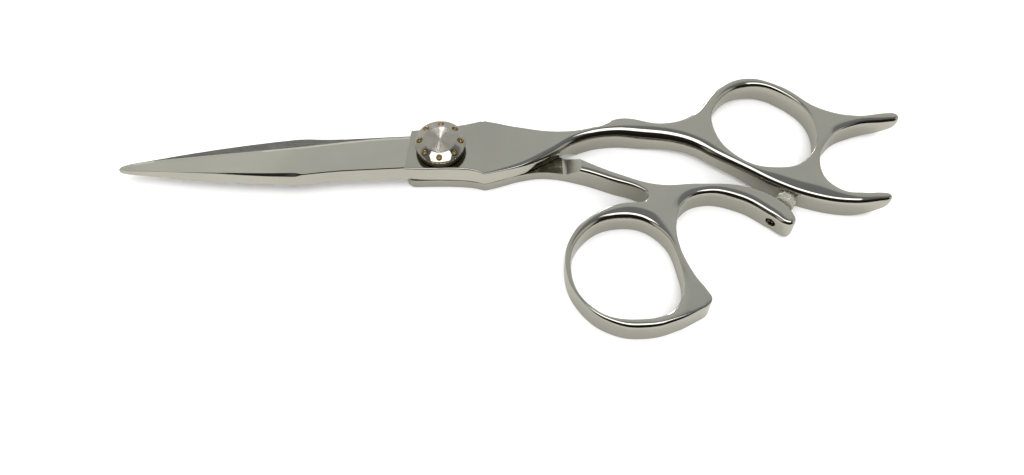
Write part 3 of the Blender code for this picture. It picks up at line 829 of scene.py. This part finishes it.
def ground_steel():
    """The riding faces: brushed along the blade, in a dark colour that stands in for the shade
    between the halves, darkening further to a mottled olive towards the handles: painted shade
    and painted reflection of the other half, mixed with oil stains.
    """
    look = Look("ground_steel", (0.25, 0.247, 0.228), 0.26)
    brushing = look.noise((150, 5000, 5000), 3.0)
    mottle = look.noise((450, 450, 450), 4.0, 0.7)
    # Painted shade: the colour darkens from x = 6 mm to 14 mm towards the handles, where the
    # other half lies over the riding face; the mottle in it stands for oil stains.
    shade_towards_handles = look.remap(look.along(0), 0.006, 0.014, 0, 1)
    clean = look.mix(look.remap(look.sum(brushing, mottle), 0.8, 1.2, 0, 1),
                     shaded(look.colour, 0.85), shaded(look.colour, 1.1))
    shade_and_stains = look.mix(look.remap(mottle, 0.4, 0.62, 0, 1), (0.075, 0.07, 0.045),
                       (0.25, 0.235, 0.165))
    look.join(look.mix(shade_towards_handles, clean, shade_and_stains), "Base Color")
    look.roughen(brushing, 0.3, 0.7, 0.2, 0.32)
    look.bump(brushing, 0.000003)
    return look.material


def satin_steel():
    """The ramps at the end of the riding faces, left from the belt."""
    look = Look("satin_steel", (0.62, 0.61, 0.56), 0.34)
    grain = look.noise((4000, 300, 4000), 3.0)
    look.vary(grain, 0.35, 0.65, 0.92, 1.06)
    look.roughen(grain, 0.3, 0.7, 0.28, 0.4)
    return look.material


def turned_steel():
    """The dial: fine concentric turning marks."""
    look = Look("turned_steel", (0.48, 0.45, 0.40), 0.25)
    look.turned(0.95)
    look.vary(look.noise((350, 350, 350), 3.0), 0.35, 0.65, 0.93, 1.07)
    look.roughen(look.noise((900, 900, 900), 2.0), 0.3, 0.7, 0.22, 0.28)
    return look.material


def rim_steel():
    """The dial's sloping rim: polished, with light handling wear."""
    look = Look("rim_steel", (0.47, 0.44, 0.395), 0.06)
    wear = look.noise((500, 500, 500), 4.0)
    look.vary(wear, 0.35, 0.7, 0.9, 1.05)
    look.roughen(wear, 0.3, 0.75, 0.03, 0.1)
    return look.material


def knurl_steel():
    """The knurled band, with a warm film in the grooves."""
    look = Look("knurl_steel", (0.50, 0.40, 0.26), 0.25)
    grime = look.noise((2200, 2200, 1200), 3.0)
    look.tint(look.remap(grime, 0.35, 0.65, 0, 1), (0.16, 0.11, 0.06), (0.62, 0.52, 0.36))
    look.roughen(grime, 0.3, 0.7, 0.15, 0.4)
    return look.material


def brass():
    look = Look("brass", (0.58, 0.43, 0.17), 0.16)
    tarnish = look.noise((1500, 1500, 1500), 3.0)
    look.tint(look.remap(tarnish, 0.35, 0.7, 0, 1), (0.30, 0.20, 0.07), (0.72, 0.56, 0.26))
    look.roughen(tarnish, 0.3, 0.7, 0.06, 0.16)
    return look.material


def painted_shade_black():
    """Painted shade: near-black for the gaps around the pins and the dial's side below its
    band, with a faint speckle.
    """
    look = Look("painted_shade_black", (0.05, 0.042, 0.03), 0.5)
    speckle = look.noise((2500, 2500, 2500), 2.0)
    look.tint(speckle, (0.02, 0.017, 0.012), (0.09, 0.075, 0.05))
    look.roughen(speckle, 0.3, 0.7, 0.4, 0.6)
    return look.material


def spring_steel():
    """Washers and balls: bright hardened steel with a faint straw colour."""
    look = Look("spring_steel", (0.44, 0.42, 0.37), 0.2)
    look.turned(0.5)
    temper = look.noise((400, 400, 400), 3.0)
    look.tint(look.remap(temper, 0.35, 0.65, 0, 1), (0.36, 0.33, 0.27), (0.50, 0.49, 0.45))
    look.roughen(temper, 0.3, 0.7, 0.14, 0.28)
    return look.material


def nylon():
    look = Look("nylon", (0.78, 0.77, 0.72), 0.42, 0.0)
    flow = look.noise((500, 500, 1500), 3.0)
    look.tint(flow, (0.70, 0.69, 0.63), (0.84, 0.83, 0.79))
    look.roughen(flow, 0.3, 0.7, 0.36, 0.5)
    look.bump(look.noise((6000, 6000, 6000), 2.0), 0.00001)
    return look.material


def silicone():
    """Clear silicone: soft, slightly cloudy and yellowed, with a matt skin."""
    look = Look("clear_silicone", (0.93, 0.925, 0.87), 0.2, 0.0)
    look.set("Transmission Weight", 0.85)
    look.set("IOR", 1.41)
    cloud = look.noise((700, 700, 700), 3.0)
    look.tint(look.remap(cloud, 0.35, 0.65, 0, 1), (0.70, 0.69, 0.60), (0.88, 0.88, 0.80))
    look.roughen(cloud, 0.3, 0.7, 0.12, 0.3)
    look.bump(look.noise((1800, 1800, 1800), 2.0), 0.00004)
    return look.material


STEEL = mirror_steel()
GROUND = ground_steel()
SATIN = satin_steel()
TURNED = turned_steel()
RIM = rim_steel()
KNURL = knurl_steel()
BRASS = brass()
SHADE_BLACK = painted_shade_black()
SPRING = spring_steel()
NYLON = nylon()
SILICONE = silicone()


# ---- the pieces

def finger_half():
    """The upper forging: plate, finger handle with its forked rest, and blade."""
    part = forged_plate("finger_handle_and_blade", FINGER_OUTLINE, FINGER_RING,
                        finger_underside)
    boolean(part, 'UNION', blade_blank("finger_blank", False))
    boolean(part, 'DIFFERENCE', riding_cutter("finger_ride", RIDE_HIGH, -1))
    drill(part, BORE_R, (0, 0, -CLEAR), (0, 0, HEIGHT + CLEAR))
    polish(part, RIDE_HIGH, -1)
    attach(part, "finger_body")
    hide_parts("finger_half")


def thumb_half():
    """The lower forging, with the recesses around the pivot and the bumper's hole."""
    part = forged_plate("thumb_handle_and_blade", THUMB_OUTLINE, THUMB_RING,
                        flat_underside)
    boolean(part, 'UNION', blade_blank("thumb_blank", True))
    boolean(part, 'DIFFERENCE', riding_cutter("thumb_ride", RIDE_LOW, 1))
    drill(part, BORE_R, (0, 0, -CLEAR), (0, 0, HEIGHT))
    drill(part, SEAT_R, (0, 0, -CLEAR), (0, 0, SEAT_DEPTH))
    drill(part, WASHER_SEAT_R, (0, 0, RIDE_LOW - WASHER_SEAT_DEPTH), (0, 0, HEIGHT))
    drill(part, BUMPER_HOLE_R, *map(on_bumper_axis, BUMPER_HOLE_ENDS), SMALL_SEGMENTS)
    polish(part, RIDE_LOW, 1)
    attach(part, "thumb_body")
    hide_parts("thumb_half")


def rim_height(radius):
    """Height of the dial's sloping rim."""
    slope = (DIAL_FACE_EDGE_Z - DIAL_BAND_TOP) / (DIAL_R - DIAL_FACE_R)
    return DIAL_BAND_TOP + slope * (DIAL_R - radius)


def pin_place(index):
    angle = PIN_START + 2 * pi * index / PIN_COUNT
    return PIN_CIRCLE_R * cos(angle), PIN_CIRCLE_R * sin(angle)


def dial():
    """The tension dial: a coned face with turning marks, a polished rim, a knurled band, and
    painted shade in near-black below the band and in the pin holes.
    """
    undercut = DIAL_R - DIAL_SIDE_R
    band = DIAL_BAND_TOP - DIAL_BAND_LOW
    profile = [(DIAL_FACE_R * step / CONE_STEPS,
                DIAL_FACE_Z + (DIAL_FACE_EDGE_Z - DIAL_FACE_Z) * step / CONE_STEPS)
               for step in range(CONE_STEPS)]
    profile += [
        (DIAL_FACE_R - DIAL_STEP, DIAL_FACE_EDGE_Z),
        (DIAL_FACE_R - DIAL_STEP / 2, DIAL_FACE_EDGE_Z - DIAL_STEP_DROP),
    ]
    profile += [(radius, rim_height(radius)) for radius in
                (DIAL_FACE_R, DIAL_FACE_R + DIAL_EDGE, PIN_CIRCLE_R, DIAL_R - DIAL_RIM_MARGIN)]
    profile += [
        (DIAL_R - DIAL_RIM_EDGE[0], DIAL_BAND_TOP - DIAL_RIM_EDGE[1]),
        (DIAL_R, DIAL_BAND_TOP - DIAL_EDGE, KNURL_DEPTH),
        (DIAL_R, DIAL_BAND_TOP - band / 2, KNURL_DEPTH),
        (DIAL_R, DIAL_BAND_LOW + DIAL_EDGE, KNURL_DEPTH),
        (DIAL_R - DIAL_EDGE, DIAL_BAND_LOW), (DIAL_SIDE_R, DIAL_BAND_LOW - undercut),
        (DIAL_SIDE_R, DIAL_BASE + DIAL_EDGE), (DIAL_SIDE_R - DIAL_EDGE, DIAL_BASE),
        (DIAL_POCKET_R, DIAL_BASE), (DIAL_POCKET_R, DIAL_POCKET_Z),
        (DIAL_THREAD_R, DIAL_POCKET_Z), (DIAL_THREAD_R, DIAL_THREAD_Z), (0, DIAL_THREAD_Z),
    ]
    part = lathe("dial_knob", profile, KNURL_TEETH * TOOTH_SAMPLES,
                 (TURNED, RIM, KNURL, SHADE_BLACK), KNURL_TEETH)
    for face in part.data.polygons:
        reach = np.hypot(face.center.x, face.center.y) / MM
        height = face.center.z / MM
        on_band = reach > DIAL_R - DIAL_RIM_MARGIN - TOLERANCE
        # Below the band the dial is painted near-black, as painted shade on its side and base.
        if height < DIAL_BAND_LOW + TOLERANCE:
            face.material_index = 3
        elif on_band and height < DIAL_BAND_TOP - TOLERANCE:
            face.material_index = 2
        else:
            on_rim = reach > DIAL_FACE_R - DIAL_STEP - TOLERANCE
            face.material_index = 1 if on_rim else 0
    for index in range(PIN_COUNT):
        x, y = pin_place(index)
        floor = rim_height(PIN_CIRCLE_R) - PIN_HOLE_DEPTH
        # The pin holes are lined with the painted shade black.
        drill(part, PIN_HOLE_R, (x, y, floor), (x, y, DIAL_FACE_Z + CLEAR), SMALL_SEGMENTS,
              SHADE_BLACK)
    shade(part, DIAL_SHARP)
    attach(part, "dial_body")
    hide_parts("tension_dial")


def brass_pins():
    """A dimpled brass pin in each hole of the dial's rim."""
    top = rim_height(PIN_CIRCLE_R) + PIN_PROUD
    floor = rim_height(PIN_CIRCLE_R) - PIN_HOLE_DEPTH + PIN_FLOOR_GAP
    bend = (PIN_DIMPLE_R ** 2 + PIN_DIMPLE_DEPTH ** 2) / (2 * PIN_DIMPLE_DEPTH)
    half = atan2(PIN_DIMPLE_R, bend - PIN_DIMPLE_DEPTH)
    profile = arc_rows(0, top + bend - PIN_DIMPLE_DEPTH, bend, -pi / 2, -pi / 2 + half,
                       DIMPLE_STEPS)
    profile[0] = (0, profile[0][1])
    profile += arc_rows(PIN_R - PIN_CHAMFER, top - PIN_CHAMFER, PIN_CHAMFER, pi / 2, 0,
                        CHAMFER_STEPS)
    profile += [(PIN_R, floor), (0, floor)]
    for index in range(PIN_COUNT):
        pin = lathe(f"brass_pin_{index + 1}", profile, SMALL_SEGMENTS, (BRASS,))
        place_along(pin, (0, 0, 1), (*pin_place(index), 0))
        shade(pin, PIN_SHARP)
        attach(pin, "dial_body")
        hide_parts(f"dial_pin_{index + 1}")


def silicone_bumper():
    """The soft stop on the thumb arm: a domed head with a moulding ring, and its stem."""
    stem_r = BUMPER_HOLE_R - BUMPER_STEM_GAP
    top_r = BUMPER_R - BUMPER_DOME
    ring_r = BUMPER_R - BUMPER_RING_DEPTH
    ring_z = BUMPER_TOP - BUMPER_DOME - BUMPER_RING
    profile = [(0, BUMPER_TOP)]
    profile += [(share * top_r, BUMPER_TOP - BUMPER_CROWN * share) for share in (0.4, 0.8)]
    profile += arc_rows(top_r, BUMPER_TOP - BUMPER_DOME - BUMPER_CROWN, BUMPER_DOME, pi / 2, 0,
                        DOME_STEPS)
    profile += [(ring_r, ring_z), (ring_r, ring_z - BUMPER_RING_DEPTH),
                (BUMPER_R, ring_z - BUMPER_ROUND)]
    profile += arc_rows(BUMPER_R - BUMPER_ROUND, BUMPER_FLANGE + BUMPER_ROUND, BUMPER_ROUND, 0,
                        -pi / 2, FLANGE_STEPS)
    profile += [(stem_r, BUMPER_FLANGE), (stem_r, BUMPER_STEM), (0, BUMPER_STEM)]
    part = lathe("silicone_stop", profile, BORE_SEGMENTS, (SILICONE,))
    place_along(part, (cos(BUMPER_ANGLE), sin(BUMPER_ANGLE), 0), on_bumper_axis(0))
    shade(part, BUMPER_SHARP)
    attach(part, "thumb_body")
    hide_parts("bumper")


def finish_cad_nodes():
    """Procedural finishes for the CAD nodes that stay as they are."""
    looks = {
        "pivot_stud": RIM, "pivot_bushing": BRASS, "ride_washer": NYLON,
        "click_plate": SPRING, "spring_washer": SPRING, "detent_ball_1": SPRING,
        "detent_ball_2": SPRING, "bumper_screw": RIM,
    }
    for name, material in looks.items():
        for slot in bpy.data.objects[name].material_slots:
            slot.material = material


finger_half()
thumb_half()
dial()
brass_pins()
silicone_bumper()
finish_cad_nodes()


# ---- studio

def studio_floor():
    """A plain white floor, which the steel reflects a little darker."""
    work = bmesh.new()
    bmesh.ops.create_grid(work, x_segments=1, y_segments=1, size=FLOOR_HALF)
    floor = finished(work, "studio_floor")
    floor.location.z = -FLOOR_DROP
    look = Look("floor_white", FLOOR_COLOUR, 0.9, 0.0)
    look.set("Specular IOR Level", 0.0)
    path = look.nodes.new("ShaderNodeLightPath")
    look.tint(path.outputs["Is Glossy Ray"], look.colour, FLOOR_IN_REFLECTIONS)
    floor.data.materials.append(look.material)


def area_light(name, place, size, radiance, aim, glossy):
    data = bpy.data.lights.new(name, 'AREA')
    data.shape = 'RECTANGLE'
    data.size, data.size_y = size
    data.energy = radiance * pi * size[0] * size[1]
    light = linked(name, data)
    light.location = place
    if aim:
        light.rotation_euler = (Vector(aim) - Vector(place)).to_track_quat('-Z', 'Y').to_euler()
    light.visible_glossy = glossy
    light.visible_camera = False


def room_by_angle(tree, direction):
    """The room's radiance by the angle of a direction in the plane x = 0."""
    split = tree.nodes.new("ShaderNodeSeparateXYZ")
    tree.links.new(direction, split.inputs[0])
    angle = calculated(tree, 'ARCTAN2', split.outputs["Z"], split.outputs["Y"])
    ramp = tree.nodes.new("ShaderNodeValToRGB")
    tree.links.new(calculated(tree, 'DIVIDE', angle, pi), ramp.inputs[0])
    for position, colour in ROOM[1:-1]:
        ramp.color_ramp.elements.new(position / 180)
    for element, (position, colour) in zip(ramp.color_ramp.elements, ROOM):
        element.position = position / 180
        element.color = (*colour, 1)
    return ramp.outputs[0]


def add_patch(tree, direction, behind, centre, half_width, half_height, soft, colour):
    """Mix a soft-edged rectangle into the surroundings, around a direction."""
    centre = Vector(centre).normalized()
    right = centre.cross(Vector((0, 0, 1))).normalized()
    up = right.cross(centre)

    def along(axis):
        node = tree.nodes.new("ShaderNodeVectorMath")
        node.operation = 'DOT_PRODUCT'
        tree.links.new(direction, node.inputs[0])
        node.inputs[1].default_value = axis
        return node.outputs["Value"]

    ahead = along(centre)
    share = calculated(tree, 'GREATER_THAN', ahead, 0.0)
    for axis, half in ((right, half_width), (up, half_height)):
        sideways = calculated(tree, 'DIVIDE', along(axis), ahead)
        edge = tree.nodes.new("ShaderNodeMapRange")
        edge.interpolation_type = 'SMOOTHSTEP'
        edge.inputs["From Min"].default_value = tan(radians(half)) * (1 + soft / 2)
        edge.inputs["From Max"].default_value = tan(radians(half)) * (1 - soft / 2)
        tree.links.new(calculated(tree, 'ABSOLUTE', sideways), edge.inputs["Value"])
        share = calculated(tree, 'MULTIPLY', share, edge.outputs["Result"])
    return mixed(tree, share, behind, colour)


def studio_world():
    """The room that the steel reflects; the camera itself sees white."""
    world = bpy.data.worlds.new("studio")
    bpy.context.scene.world = world
    world.use_nodes = True
    tree = world.node_tree
    tree.nodes.clear()
    out = tree.nodes.new("ShaderNodeOutputWorld")
    background = tree.nodes.new("ShaderNodeBackground")
    tree.links.new(background.outputs[0], out.inputs[0])
    direction = tree.nodes.new("ShaderNodeTexCoord").outputs["Generated"]
    seen = room_by_angle(tree, direction)
    for patch in ROOM_PATCHES:
        seen = add_patch(tree, direction, seen, *patch)
    path = tree.nodes.new("ShaderNodeLightPath")
    seen = mixed(tree, path.outputs["Is Camera Ray"], seen, (1.0, 1.0, 1.0))
    tree.links.new(seen, background.inputs[0])


def camera():
    """The photograph's viewing angle."""
    data = bpy.data.cameras.new("camera")
    data.sensor_width = CAMERA_SENSOR
    data.lens = CAMERA_LENS
    data.clip_start = CAMERA_CLIP * MM
    view = linked("camera", data)
    place, aim = Vector(CAMERA_PLACE) * MM, Vector(CAMERA_AIM) * MM
    view.location = place
    view.rotation_euler = (aim - place).to_track_quat('-Z', 'Y').to_euler()
    bpy.context.scene.camera = view


studio_floor()
for light in LIGHTS:
    area_light(*light)
studio_world()
camera()
bpy.context.scene.view_settings.view_transform = 'Standard'
